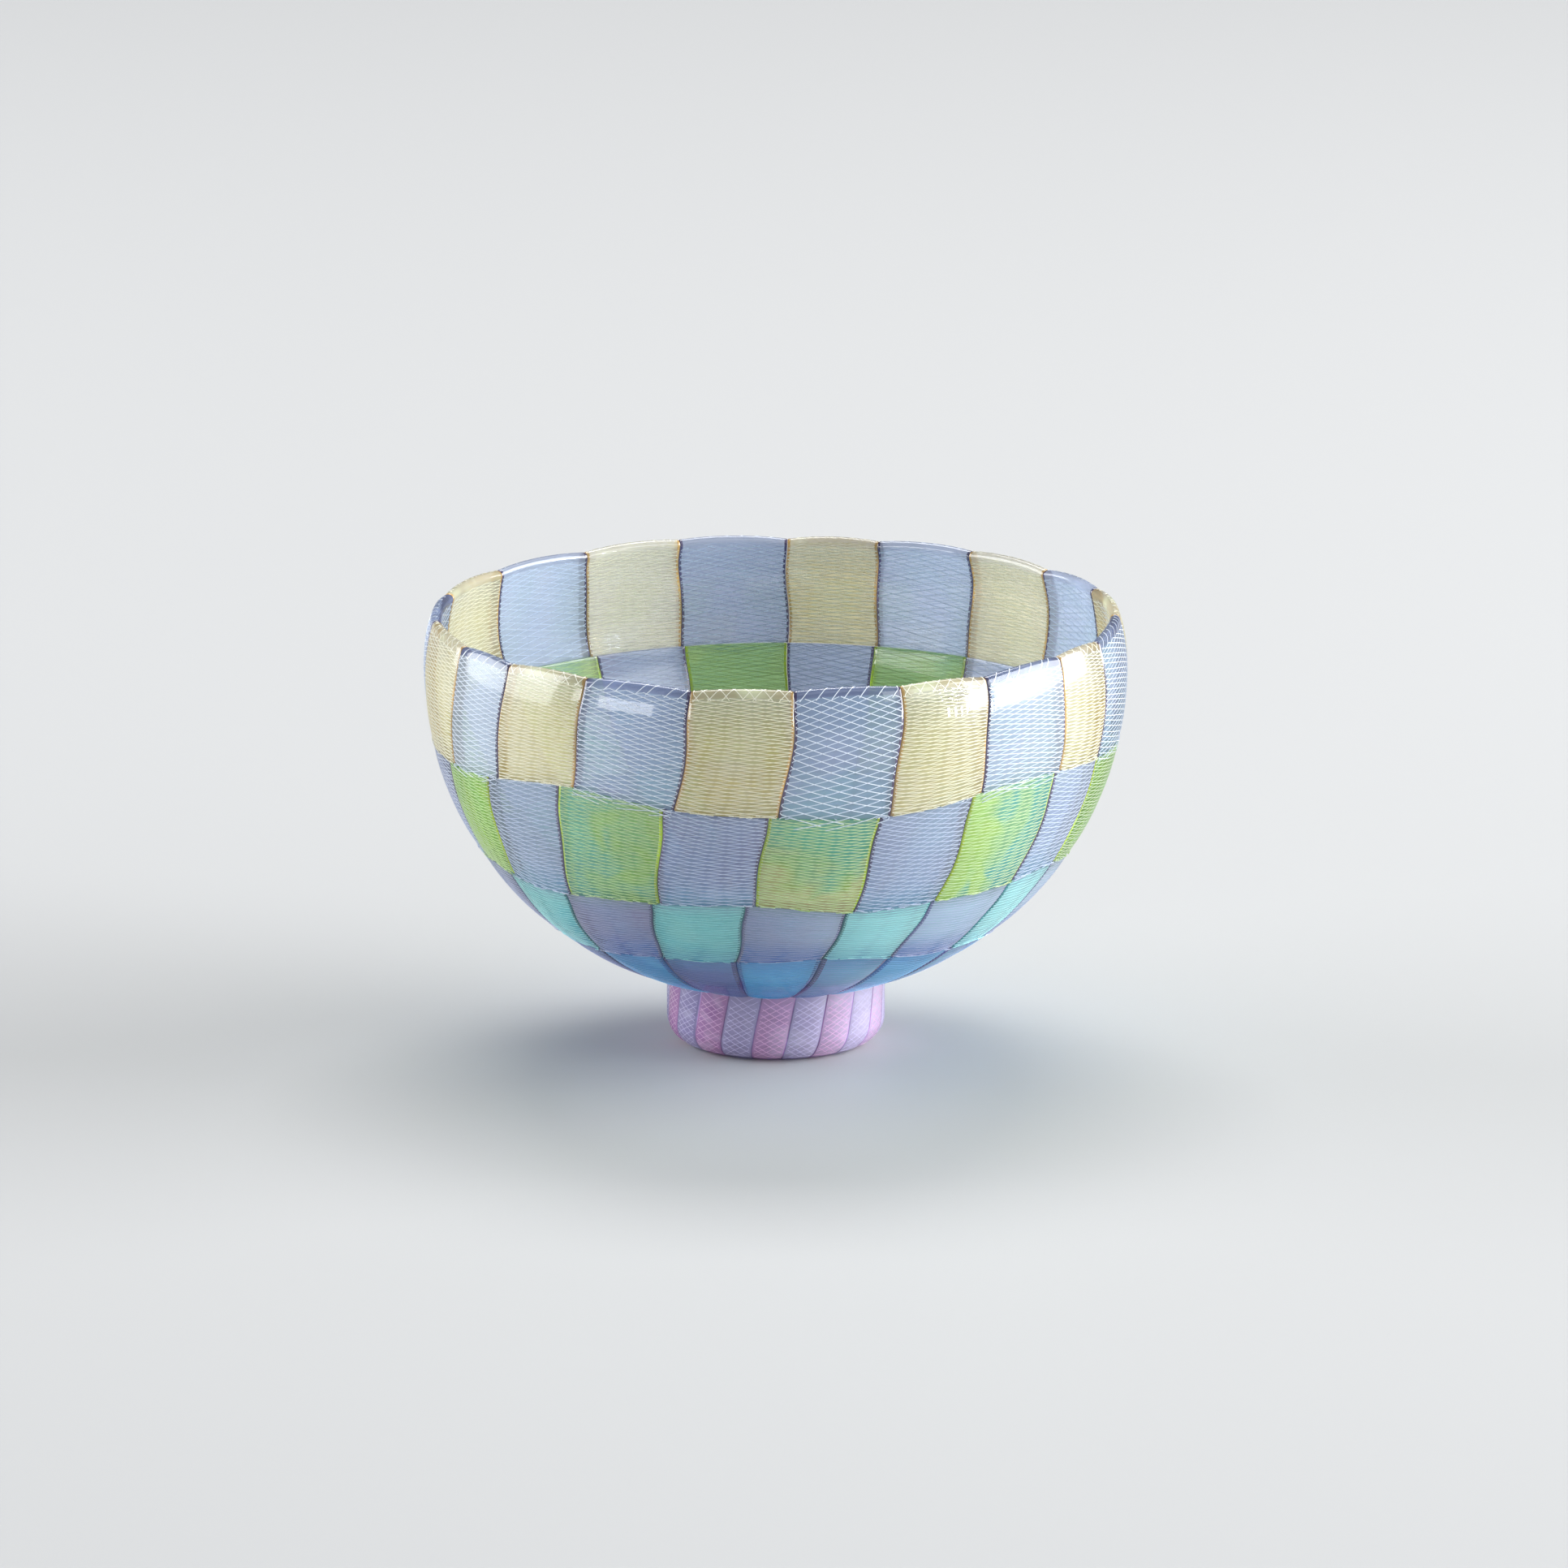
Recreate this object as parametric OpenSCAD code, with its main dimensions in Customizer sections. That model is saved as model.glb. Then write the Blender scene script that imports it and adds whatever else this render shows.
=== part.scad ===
// A blown bowl of lace-cane glass: four rows of tiles round the wall, laid as a
// checkerboard, and a fifth row of upright staves as the foot ring. Every tile
// is its own piece of glass, fused edge to edge with its neighbours. The front
// of the bowl faces -Y, and the origin is on the table under its middle.

/* [Wall] */
// Widest outside diameter of the bowl, at its belly
belly_d = 120; // [114:1:126]
// Height of the belly above the table
belly_z = 65.8; // [64.5:0.1:66.5]
// Height of the lip above the table
bowl_h = 75.8; // [74:0.1:78]
// Radius of the arc that the outside of the wall follows in section
wall_arc_r = 55.85; // [55:0.05:56.5]
// Thickness of the wall
wall_t = 2; // [1.6:0.1:2.4]

/* [Rows] */
// Height of the joint between the rim row and the belly row
belly_joint_z = 54; // [51:0.5:57]
// Height of the joint between the belly row and the lower row
lower_joint_z = 35.2; // [33:0.2:38]
// Height of the joint between the lower row and the bottom row
bottom_joint_z = 23; // [21:0.5:25]
// Radius of the base disc inside the bottom row
base_disc_r = 10; // [8:0.5:11]

/* [Twist] */
// Turn of the seams across the rim row, in degrees
rim_turn = 2.3; // [0:0.1:4]
// Turn of the seams across the belly row, in degrees
belly_turn = 3.3; // [0:0.1:5]
// Turn of the seams across the lower row, in degrees
lower_turn = 4; // [0:0.1:6]
// Turn of the seams across the bottom row, in degrees
bottom_turn = 6; // [0:0.1:8]
// Sideways step of the seams at the joint under the rim row, in degrees
rim_step = 1.9; // [0:0.1:3]
// Sideways step of the seams at the joint under the belly row, in degrees
belly_step = 1.5; // [0:0.1:3]
// How much more the seams lean on the left of the bowl than on the right
uneven_lean = 0.6; // [0:0.1:0.7]
// How much less the seams lean at the back of the bowl than at its front
straight_back = 1; // [0:0.1:1]

/* [Foot] */
// Outside diameter of the foot ring
foot_d = 37.2; // [34:0.2:40]
// Rounding of the foot's lower outside edge
foot_edge_r = 4.5; // [3:0.5:5]
// Width of the flat ring that the bowl rests on
foot_rest_w = 2; // [1.5:0.1:2.5]
// Turn of the foot's staves over their height, in degrees
foot_turn = 7.5; // [0:0.5:10]

/* [Hidden] */
$fn = 180;
FRONT = 270;
RIM = 0;
BELLY = 1;
LOWER = 2;
BOTTOM = 3;

// Widths of the hand-laid columns in degrees, going round from the front left.
// Even columns are the wide, lavender-topped ones, and all of them add up to 360.
COLUMN_W = [15, 17, 19, 17, 18, 16, 18, 14, 20, 19, 18, 18, 18, 16, 19, 18, 21, 20, 19, 20];
COLUMNS = len(COLUMN_W);
FIRST_SEAM = -65;
FIRST_STAVE = -83;
STAVE_W = 360 / COLUMNS;

LAVENDER = [0.64, 0.68, 0.80];
STRAW = [0.84, 0.80, 0.58];
GREEN = [0.50, 0.72, 0.40];
AQUA = [0.47, 0.73, 0.71];
HEATHER = [0.52, 0.51, 0.64];
BLUE = [0.31, 0.52, 0.72];
PURPLE = [0.42, 0.39, 0.60];
PINK = [0.78, 0.52, 0.72];
LILAC = [0.64, 0.56, 0.76];

arc_centre = [belly_d / 2 - wall_arc_r, belly_z];
mid_arc_r = wall_arc_r - wall_t / 2;
lip_angle = asin((bowl_h - wall_t / 2 - belly_z) / mid_arc_r);
base_angle = -acos((base_disc_r - arc_centre.x) / wall_arc_r);
row_edges = [lip_angle, wall_angle(belly_joint_z), wall_angle(lower_joint_z),
             wall_angle(bottom_joint_z), base_angle];
belly_shift = rim_turn + rim_step;
lower_shift = belly_shift + belly_turn + belly_step;
bottom_shift = lower_shift + lower_turn;
row_shifts = [0, belly_shift, lower_shift, bottom_shift];
row_turns = [rim_turn, belly_turn, lower_turn, bottom_turn];
foot_r = foot_d / 2;
foot_bore_r = foot_r - foot_edge_r - foot_rest_w;
foot_h = wall_z(-acos((foot_r - arc_centre.x) / wall_arc_r));
// Larger than the bowl, for the solids that the seams are cut with
reach = 2 * belly_d;

// Angle up the wall's arc, from its centre, at a height on the outside
function wall_angle(z) = asin((z - belly_z) / wall_arc_r);
// Height on the outside of the wall at an angle up its arc
function wall_z(angle) = belly_z + wall_arc_r * sin(angle);
// Radius of the outside of the wall at a height
function wall_r(z) = arc_centre.x + sqrt(wall_arc_r ^ 2 - (z - belly_z) ^ 2);

// Direction of a seam at the lip, in degrees from the front
function rim_az(seam, column = 0) =
    column == seam ? FIRST_SEAM : COLUMN_W[column] + rim_az(seam, column + 1);
function row_mid_z(row) = (wall_z(row_edges[row]) + wall_z(row_edges[row + 1])) / 2;
function row_height(row) = wall_z(row_edges[row]) - wall_z(row_edges[row + 1]);
function lean(az) =
    1 - uneven_lean * sin(az) - straight_back * ((1 - cos(az)) / 2) ^ 2;
// Direction of a seam half-way down a row
function seam_az(seam, row) =
    rim_az(seam) - lean(rim_az(seam)) * (row_shifts[row] + row_turns[row] / 2);
// Tilt of a seam's plane away from upright
function seam_tilt(seam, row) = tilt_of(lean(rim_az(seam)) * row_turns[row],
                                        wall_r(row_mid_z(row)), row_height(row));
// Tilt of a plane that turns by an angle round a radius over a height
function tilt_of(turn, radius, height) = atan(radius * turn * PI / 180 / height);

function numbered(name, column) =
    str(name, column < 18 ? "_0" : "_", floor(column / 2) + 1);
function is_even(column) = column % 2 == 0;
function rim_name(column) = numbered(is_even(column) ? "rim_lavender" : "rim_straw", column);
function belly_name(column) = numbered(is_even(column) ? "belly_green" : "belly_lavender", column);

// Everything on one side of an upright plane through the axis, once the plane is
// turned to an azimuth and tilted about its own radius at a height
module half_space(az, tilt, z, after) {
  translate([0, 0, z])
    rotate([0, 0, FRONT + az])
      rotate([-tilt, 0, 0])
        translate([0, after ? 0 : -reach, -reach / 2])
          cube([reach, reach, reach]);
}

// Section of the wall between two angles up its arc
module wall_section(top, bottom) {
  translate(arc_centre)
    intersection() {
      difference() {
        circle(r = wall_arc_r);
        circle(r = wall_arc_r - wall_t);
      }
      polygon([[0, 0], reach * [cos(top), sin(top)], reach * [cos(bottom), sin(bottom)]]);
    }
}

// Section of one row of tiles; the rim row ends in the rounded lip
module row_section(row) {
  wall_section(row_edges[row], row_edges[row + 1]);
  if (row == RIM) {
    translate(arc_centre + mid_arc_r * [cos(lip_angle), sin(lip_angle)])
      circle(d = wall_t);
  }
}

// One tile: the part of its row between two seams
module tile(row, column) {
  intersection() {
    rotate_extrude()
      row_section(row);
    half_space(seam_az(column, row), seam_tilt(column, row), row_mid_z(row), true);
    half_space(seam_az(column + 1, row), seam_tilt(column + 1, row), row_mid_z(row), false);
  }
}

// Every second tile of a row, starting at the first or the second column
module every_second_tile(row, first) {
  for (column = [first:2:COLUMNS - 1]) {
    tile(row, column);
  }
}

module rim_tile(column) {
  color(is_even(column) ? LAVENDER : STRAW)
    tile(RIM, column);
}

module belly_tile(column) {
  color(is_even(column) ? GREEN : LAVENDER)
    tile(BELLY, column);
}

module lower_heather_tiles() {
  color(HEATHER)
    every_second_tile(LOWER, 0);
}

module lower_aqua_tiles() {
  color(AQUA)
    every_second_tile(LOWER, 1);
}

module bottom_blue_tiles() {
  color(BLUE)
    every_second_tile(BOTTOM, 0);
}

module bottom_purple_tiles() {
  color(PURPLE)
    every_second_tile(BOTTOM, 1);
}

// The disc where the bottom row's tiles close, flat in the middle
module base_disc() {
  color(BLUE)
    rotate_extrude() {
      translate([0, belly_z - wall_arc_r])
        square([arc_centre.x, wall_t]);
      wall_section(base_angle, -90);
    }
}

// Section of the foot ring: flat under, rounded outside, its top fused to the wall
module foot_section() {
  edge_x = foot_r - foot_edge_r;
  difference() {
    union() {
      translate([foot_bore_r, 0])
        square([foot_rest_w, belly_z]);
      translate([edge_x, foot_edge_r])
        square([foot_edge_r, belly_z]);
      translate([edge_x, foot_edge_r])
        circle(r = foot_edge_r);
    }
    translate(arc_centre)
      circle(r = wall_arc_r);
    translate([0, foot_h])
      square([belly_d, belly_d]);
  }
}

module foot_stave(stave) {
  az = FIRST_STAVE + stave * STAVE_W;
  tilt = tilt_of(foot_turn, foot_r, foot_h);
  intersection() {
    rotate_extrude()
      foot_section();
    half_space(az, tilt, foot_h / 2, true);
    half_space(az + STAVE_W, tilt, foot_h / 2, false);
  }
}

module foot_pink_staves() {
  color(PINK)
    for (stave = [0:2:COLUMNS - 1]) {
      foot_stave(stave);
    }
}

module foot_lilac_staves() {
  color(LILAC)
    for (stave = [1:2:COLUMNS - 1]) {
      foot_stave(stave);
    }
}

for (column = [0:COLUMNS - 1]) {
  rim_tile(column);
  belly_tile(column);
}
lower_heather_tiles();
lower_aqua_tiles();
bottom_blue_tiles();
bottom_purple_tiles();
base_disc();
foot_pink_staves();
foot_lilac_staves();
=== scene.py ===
"""Looks of the lace-cane glass bowl: pillowed tiles of milky tinted glass, with fine white threads
on both faces.

Lengths are in millimetres and angles in degrees until a mesh is made. Azimuth 0 is the front (-Y),
and it grows towards +X. Along a row, u runs from a tile's left seam to its right one, and s runs
down the wall from its top.
"""

import math
from types import SimpleNamespace

import bpy
import numpy as np
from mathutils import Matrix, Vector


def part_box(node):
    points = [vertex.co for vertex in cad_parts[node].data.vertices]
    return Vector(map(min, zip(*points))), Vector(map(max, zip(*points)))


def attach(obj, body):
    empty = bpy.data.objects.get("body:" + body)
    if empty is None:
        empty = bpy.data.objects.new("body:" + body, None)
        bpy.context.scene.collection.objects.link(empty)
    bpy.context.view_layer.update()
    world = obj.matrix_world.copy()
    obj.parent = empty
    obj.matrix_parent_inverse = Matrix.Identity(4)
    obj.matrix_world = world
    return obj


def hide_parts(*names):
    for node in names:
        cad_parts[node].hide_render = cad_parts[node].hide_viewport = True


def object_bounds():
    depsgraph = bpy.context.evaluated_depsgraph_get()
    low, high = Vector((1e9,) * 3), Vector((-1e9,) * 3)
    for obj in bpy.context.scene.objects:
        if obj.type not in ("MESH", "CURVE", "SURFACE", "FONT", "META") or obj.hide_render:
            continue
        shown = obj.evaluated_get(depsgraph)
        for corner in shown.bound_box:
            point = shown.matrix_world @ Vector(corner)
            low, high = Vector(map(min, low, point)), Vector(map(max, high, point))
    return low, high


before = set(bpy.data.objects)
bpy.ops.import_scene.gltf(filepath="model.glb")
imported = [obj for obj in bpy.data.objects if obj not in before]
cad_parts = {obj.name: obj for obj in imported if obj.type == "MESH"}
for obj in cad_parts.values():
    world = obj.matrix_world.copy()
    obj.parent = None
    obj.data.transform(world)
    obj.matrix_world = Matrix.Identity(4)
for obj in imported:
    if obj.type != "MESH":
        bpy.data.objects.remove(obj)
cad_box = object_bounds()

MM = 0.001
RIM, BELLY, LOWER, BOTTOM = range(4)


def node_box(node):
    """Lowest and highest corners of a CAD node, in millimetres."""
    return [np.array(corner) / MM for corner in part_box(node)]


# ---------------------------------------------------------------- the wall, from the frame
WALL_ARC_R = 55.85
WALL_T = 2.0
BOWL_R = max(cad_box[1][0], cad_box[1][1]) / MM
BOWL_H = cad_box[1][2] / MM
BASE_Z = node_box("base_disc")[0][2]
BASE_R = node_box("base_disc")[1][0]
FOOT_R = node_box("foot_lilac_staves")[1][0]
BELLY_Z = BASE_Z + WALL_ARC_R
ARC_AXIS_R = BOWL_R - WALL_ARC_R
LIP_R = WALL_T / 2
JOINT_Z = [
    BOWL_H - LIP_R,
    node_box("rim_straw_02")[0][2],
    node_box("belly_green_02")[0][2],
    node_box("lower_aqua_tiles")[0][2],
]
BASE_ANGLE = -math.degrees(math.acos((BASE_R - ARC_AXIS_R) / WALL_ARC_R))

# ---------------------------------------------------------------- the hand-laid columns
COLUMN_W = [15, 17, 19, 17, 18, 16, 18, 14, 20, 19, 18, 18, 18, 16, 19, 18, 21, 20, 19, 20]
COLUMNS = len(COLUMN_W)
FIRST_SEAM = -65
RIM_SEAMS = FIRST_SEAM + np.concatenate([[0], np.cumsum(COLUMN_W)]).astype(float)
ROW_SHIFT = [0, 4.2, 9, 13]
ROW_TURN = [2.3, 3.3, 4, 6]
ROW_BEND = [0.9, 0.1, 0.3, 0.4]
UNEVEN_LEAN = 0.6
STRAIGHT_BACK = 1
SEAM_WOBBLE = 0.35
# Waves of each joint under a row: how high in mm, how many round the bowl, and where one crests
JOINT_WAVES = {
    1: [(1.5, 4, 53), (0.4, 9, 43)],
    2: [(0.8, 5, -12), (0.3, 11, 30)],
    3: [(1.0, 3, 5), (0.3, 8, -30)],
}
# At the back, the joint under the rim row runs level, this far above its height in front
BACK_RISE = 1.8
LIP_ARCH = 0.45
LIP_DIP = 0.5


def mix(a, b, t):
    return a + (b - a) * t


def sin_d(angle):
    return np.sin(np.radians(angle))


def cos_d(angle):
    return np.cos(np.radians(angle))


def arc_angle(z):
    """Angle up the wall's arc of a height on its outside."""
    return np.degrees(np.arcsin((z - BELLY_Z) / WALL_ARC_R))


def at_back(az):
    """How far round to the back an azimuth is, from 0 in front to 1."""
    return ((1 - cos_d(az)) / 2) ** 2


def seam_az(seam, row, t):
    """Azimuth of a seam at a share t of the way down its row."""
    at_rim = RIM_SEAMS[seam]
    lean = 1 - UNEVEN_LEAN * sin_d(at_rim) - STRAIGHT_BACK * at_back(at_rim)
    bent = t + ROW_BEND[row] * t * (t - 1)
    wobble = SEAM_WOBBLE * sin_d(360 * t + 77 * (seam % COLUMNS) + 130 * row) * np.clip(t * 4, 0, 1)
    return at_rim - lean * (ROW_SHIFT[row] + ROW_TURN[row] * bent) + wobble


def seam_dip(seam):
    """How far the lip dips where a seam reaches it."""
    return LIP_DIP * (0.5 + 0.5 * sin_d(137 * (seam % COLUMNS) + 20))


def lip_height(az):
    """Height of the middle of the rounded lip: every tile arches a little between its seams."""
    turn = np.mod(az - FIRST_SEAM, 360) + FIRST_SEAM
    column = np.clip(np.searchsorted(RIM_SEAMS, turn, side="right") - 1, 0, COLUMNS - 1)
    u = (turn - RIM_SEAMS[column]) / np.array(COLUMN_W)[column]
    dip = mix(seam_dip(column), seam_dip(column + 1), u)
    return JOINT_Z[0] - dip + LIP_ARCH * (4 * u * (1 - u) - 1)


def joint_angle(joint, az):
    """Angle up the wall's arc of an edge of a row: 0 is the lip and 4 the base disc's edge."""
    if joint == 4:
        return BASE_ANGLE + 0 * az
    if joint == 0:
        z = lip_height(az)
    else:
        rise = sum(h * cos_d(n * (az - crest)) for h, n, crest in JOINT_WAVES[joint])
        if joint == 1:
            rise = mix(rise, BACK_RISE, at_back(az))
        z = JOINT_Z[joint] + rise
    return arc_angle(z)


ROW_EDGE = [arc_angle(z) for z in JOINT_Z] + [BASE_ANGLE]


def row_length(row):
    """Length of a row down the outside of the wall."""
    return math.radians(ROW_EDGE[row] - ROW_EDGE[row + 1]) * WALL_ARC_R


def tile_width(column, row):
    """Width of a tile across its middle."""
    middle = (ROW_EDGE[row] + ROW_EDGE[row + 1]) / 2
    return math.radians(COLUMN_W[column]) * (ARC_AXIS_R + WALL_ARC_R * cos_d(middle))


def on_tile(column, row, u, v):
    """Azimuth and arc angle of a point of a tile; u and v run from 0 to 1 across it and down it."""
    top, bottom = ROW_EDGE[row], ROW_EDGE[row + 1]
    angle = mix(top, bottom, v)
    for _ in range(3):
        t = (angle - top) / (bottom - top)
        az = mix(seam_az(column, row, t), seam_az(column + 1, row, t), u)
        angle = mix(joint_angle(row, az), joint_angle(row + 1, az), v)
    return az, angle


def to_xyz(az, r, z):
    return np.stack([r * sin_d(az), -r * cos_d(az), z + 0 * az], -1)


def wall_section(angle, depth):
    """Radius and height of a point at a depth under the outside of the wall."""
    reach = WALL_ARC_R - depth
    return ARC_AXIS_R + reach * cos_d(angle), BELLY_Z + reach * sin_d(angle)


def wall_xyz(az, angle, depth):
    return to_xyz(az, *wall_section(angle, depth))


# ---------------------------------------------------------------- meshes
def new_mesh(name, verts, faces, material_of, materials, lace=None):
    """A mesh object from vertices in mm and a list of arrays of faces, one per number of corners.

    material_of has an array of material numbers for each array of faces, and lace a (u, s) pair for
    each vertex.
    """
    me = bpy.data.meshes.new(name)
    corners = np.concatenate([f.ravel() for f in faces]).astype(np.int32)
    sizes = np.concatenate([np.full(len(f), f.shape[1]) for f in faces])
    starts = np.concatenate([[0], np.cumsum(sizes)[:-1]]).astype(np.int32)
    me.vertices.add(len(verts))
    me.vertices.foreach_set("co", (verts * MM).astype(np.float32).ravel())
    me.loops.add(len(corners))
    me.loops.foreach_set("vertex_index", corners)
    me.polygons.add(len(starts))
    me.polygons.foreach_set("loop_start", starts)
    me.polygons.foreach_set("material_index", np.concatenate(material_of).astype(np.int32))
    me.polygons.foreach_set("use_smooth", np.ones(len(starts), bool))
    for material in materials:
        me.materials.append(material)
    if lace is not None:
        uv = me.uv_layers.new(name="lace")
        uv.data.foreach_set("uv", lace[corners].astype(np.float32).ravel())
    me.update(calc_edges=True)
    me.validate()
    me.set_sharp_from_angle(angle=math.radians(55))
    ob = bpy.data.objects.new(name, me)
    bpy.context.scene.collection.objects.link(ob)
    return ob


def hand_in(ob, slot, *nodes):
    """Parent a piece of the bowl to the root empty, and hide the CAD nodes that it stands for."""
    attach(ob, "root")
    if nodes:
        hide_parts(*nodes)


class Parts:
    """Vertices and faces of several closed solids, gathered into one mesh."""

    def __init__(self):
        self.verts, self.lace, self.faces, self.mats, self.count = [], [], {}, {}, 0

    def add(self, verts, faces, mats, lace=None):
        self.verts.append(verts)
        self.lace.append(np.zeros((len(verts), 2)) if lace is None else lace)
        for f, m in zip(faces, mats):
            self.faces.setdefault(f.shape[1], []).append(f + self.count)
            self.mats.setdefault(f.shape[1], []).append(m)
        self.count += len(verts)

    def mesh(self, name, materials):
        sizes = sorted(self.faces)
        return new_mesh(
            name,
            np.concatenate(self.verts),
            [np.concatenate(self.faces[n]) for n in sizes],
            [np.concatenate(self.mats[n]) for n in sizes],
            materials,
            np.concatenate(self.lace),
        )


# ---------------------------------------------------------------- tiles
BODY, EDGE, INNER, LIP = range(4)
# Half of the gap between two tiles
GAP = 0.03
# Width of the coloured skin along a tile's seams
EDGE_W = 0.48
# Width and depth of the rounding at a tile's edges
ROUND_W = 0.4
ROUND_DEPTH = 0.2
# Share of that rounding at the lip, at the three joints under it and at the base disc
JOINT_ROUND = [0, 1, 0.7, 0.3, 0.3]
# How far a tile's outer face swells, and the share of that on the inner face
PILLOW = 0.3
INNER_PILLOW = 0.4
# The rim's topmost part leans in, by this times the square of the height above a line on it
LIP_LEAN = 0.008
LIP_LEAN_S = 8
# Steps over the rounded lip, and how far its band of plain glass reaches down
LIP_STEPS = 8
LIP_BAND = 0.5
# Steps of a tile's mesh across it and down it, coarse in the middle and fine at the ends
STEP_ACROSS = 1.3
STEP_DOWN = 1.4
EDGE_STEPS = [0, 0.1, 0.22, EDGE_W]
JOINT_STEPS = [0, 0.14, 0.35]


def pillow(u, v):
    """How far a tile's face swells at (u, v)."""
    across = 1 - np.abs(2 * u - 1) ** 3
    down = 1 - 0.7 * np.abs(2 * v - 1) ** 4
    return PILLOW * (across * down - 0.5)


def rounding(distance):
    """Depth of a tile's rounded edge at a distance from it."""
    share = np.clip(1 - distance / ROUND_W, 0, 1)
    return ROUND_DEPTH * (1 - np.sqrt(1 - share**2))


def stops(length, step, fine):
    """Places from 0 to length, with fine steps at the two ends."""
    ends = np.array(fine)
    count = max(3, round((length - 2 * ends[-1]) / step))
    middle = np.linspace(ends[-1], length - ends[-1], count + 1)
    return np.concatenate([ends[:-1], middle, length - ends[-2::-1]])


def face_depth(column, row, u, v, width, length, inside):
    """Depth under the wall's outside of a point of a tile's outer or inner face."""
    sides = rounding(np.minimum(u, 1 - u) * width)
    below = JOINT_ROUND[row + 1] * rounding((1 - v) * length)
    above = JOINT_ROUND[row] * rounding(v * length)
    proud = pillow(u, v) - sides - below - above
    lean = LIP_LEAN * np.clip(LIP_LEAN_S - v * length, 0, None) ** 2 if row == RIM else 0
    return lean + (WALL_T + INNER_PILLOW * proud if inside else -proud)


def lip_points(az, outer, inner):
    """Points of the rounded lip, from the inner face over to the outer one."""
    turn = np.arange(1, LIP_STEPS) * 180 / LIP_STEPS
    middle = (outer + inner) / 2
    across = (inner - outer) / 2
    along = np.cross(across, to_xyz(az + 90, 1, 0))
    along *= np.sign(along[:, 2:])
    sideways = across[:, None] * cos_d(turn)[None, :, None]
    upwards = along[:, None] * sin_d(turn)[None, :, None]
    return middle[:, None] + sideways + upwards


def seam_faces(number, down, row):
    """The faces that close a tile at its left and right seams, each with the lip's tip first."""
    faces = []
    for end in (0, -1):
        loop = number[end]
        near, far = loop[: down - 1], loop[1:down]
        far_in, near_in = loop[2 * down - 2 : down - 1 : -1], loop[2 * down - 1 : down : -1]
        side = np.stack([near, far, far_in, near_in], -1)
        if row == RIM:
            bow = np.concatenate([loop[2 * down - 1 :], loop[:1]])
            half = LIP_STEPS // 2
            rungs = [[bow[-1 - k], bow[k], bow[k + 1], bow[-2 - k]] for k in range(half - 1)]
            side = np.concatenate([side, rungs])
            tip = np.array([[bow[half + 1], bow[half - 1], bow[half]]])
            faces.append(tip if end == 0 else tip[:, ::-1])
        faces.append(side[:, ::-1] if end == 0 else side)
    return faces


def add_tile(parts, column, row):
    """One closed tile: a loop down its outer face, up the inner and over the lip, swept across."""
    width, length = tile_width(column, row), row_length(row)
    x = stops(width, STEP_ACROSS, EDGE_STEPS)
    s = stops(length, STEP_DOWN, JOINT_STEPS)
    if row == RIM:
        s = np.concatenate([[0, LIP_BAND], s[3:]])
    u = GAP / width + (1 - 2 * GAP / width) * x / width
    v = (1 - 2 * GAP / length) * s / length + (0 if row == RIM else GAP / length)
    U, V = np.meshgrid(u, v, indexing="ij")
    az, angle = on_tile(column, row, U, V)
    outer = wall_xyz(az, angle, face_depth(column, row, U, V, width, length, False))
    inner = wall_xyz(az, angle, face_depth(column, row, U, V, width, length, True))
    rings = [outer, inner[:, ::-1]]
    S = mix(0, length, V)
    X = U * width
    lace_u, lace_s = [X, X[:, ::-1]], [S, S[:, ::-1]]
    if row == RIM:
        rings.append(lip_points(az[:, 0], outer[:, 0], inner[:, 0]))
        over_lip = -np.radians(np.arange(LIP_STEPS - 1, 0, -1) * 180 / LIP_STEPS)
        lace_u.append(np.repeat(X[:, :1], LIP_STEPS - 1, 1))
        lace_s.append(np.repeat(over_lip[None], len(u), 0))
    loop = np.concatenate(rings, 1)
    lace = np.stack([np.concatenate(lace_u, 1), np.concatenate(lace_s, 1)], -1)
    columns, n = loop.shape[:2]
    down = len(v)
    number = np.arange(columns * n).reshape(columns, n)
    following = np.roll(number, -1, 1)
    quads = np.stack([number[1:], following[1:], following[:-1], number[:-1]], -1).reshape(-1, 4)
    place = np.full(n, BODY)
    place[down : 2 * down - 1] = INNER
    if row == RIM:
        place[0] = LIP
        place[2 * down - 2 :] = LIP
    at_edge = np.minimum(x[:-1] + x[1:], 2 * width - x[:-1] - x[1:]) / 2 < EDGE_W
    kind = np.where(at_edge[:, None], EDGE, place[None, :])
    seams = seam_faces(number, down, row)
    mats = [kind.ravel()] + [np.full(len(faces), EDGE) for faces in seams]
    parts.add(loop.reshape(-1, 3), [quads, *seams], mats, lace.reshape(-1, 2))


# ---------------------------------------------------------------- threads
THREAD_DEPTH = 0.09
# Where across a tile its threads start; they end as far from its other seam
THREAD_STEPS = [0.22, 0.34]
# How far the threads that run on over a joint stand off the wall there
OVERRUN_LIFT = 0.09
# How much wider apart the threads are on the inner face
INNER_SPREAD = 1.35
# How uneven the threads are in height and in slope, and the least and most of their usual sag
HEIGHT_SPREAD = 0.035
SLOPE_SPREAD = 0.4
SAG_SHARES = (0.6, 1.2)
# How far a thread's ends turn at the seams, as a share of the pitch
END_HOOK = 0.3
# A thread that crosses less than this share of a tile is left out
LEAST_SHARE = 0.06
# The threads over the lip: where each starts below it and ends beyond it, the place along that
# where it is straight above its middle, and how far it leans
LIP_THREAD_S = np.linspace(0.9, -1.5, 8)
LIP_THREAD_MIDDLE = 0.4
LIP_THREAD_LEAN = 0.9
LIP_THREAD_HALF_W = 0.07
# The dashes above a joint: how far above it, their half lengths as shares of their pitch, their
# slope and half of their width
DASH_UP = 0.4
DASH_SHARES = (0.15, 0.42)
DASH_SLOPE = 0.07
DASH_HALF_W = 0.05


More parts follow.
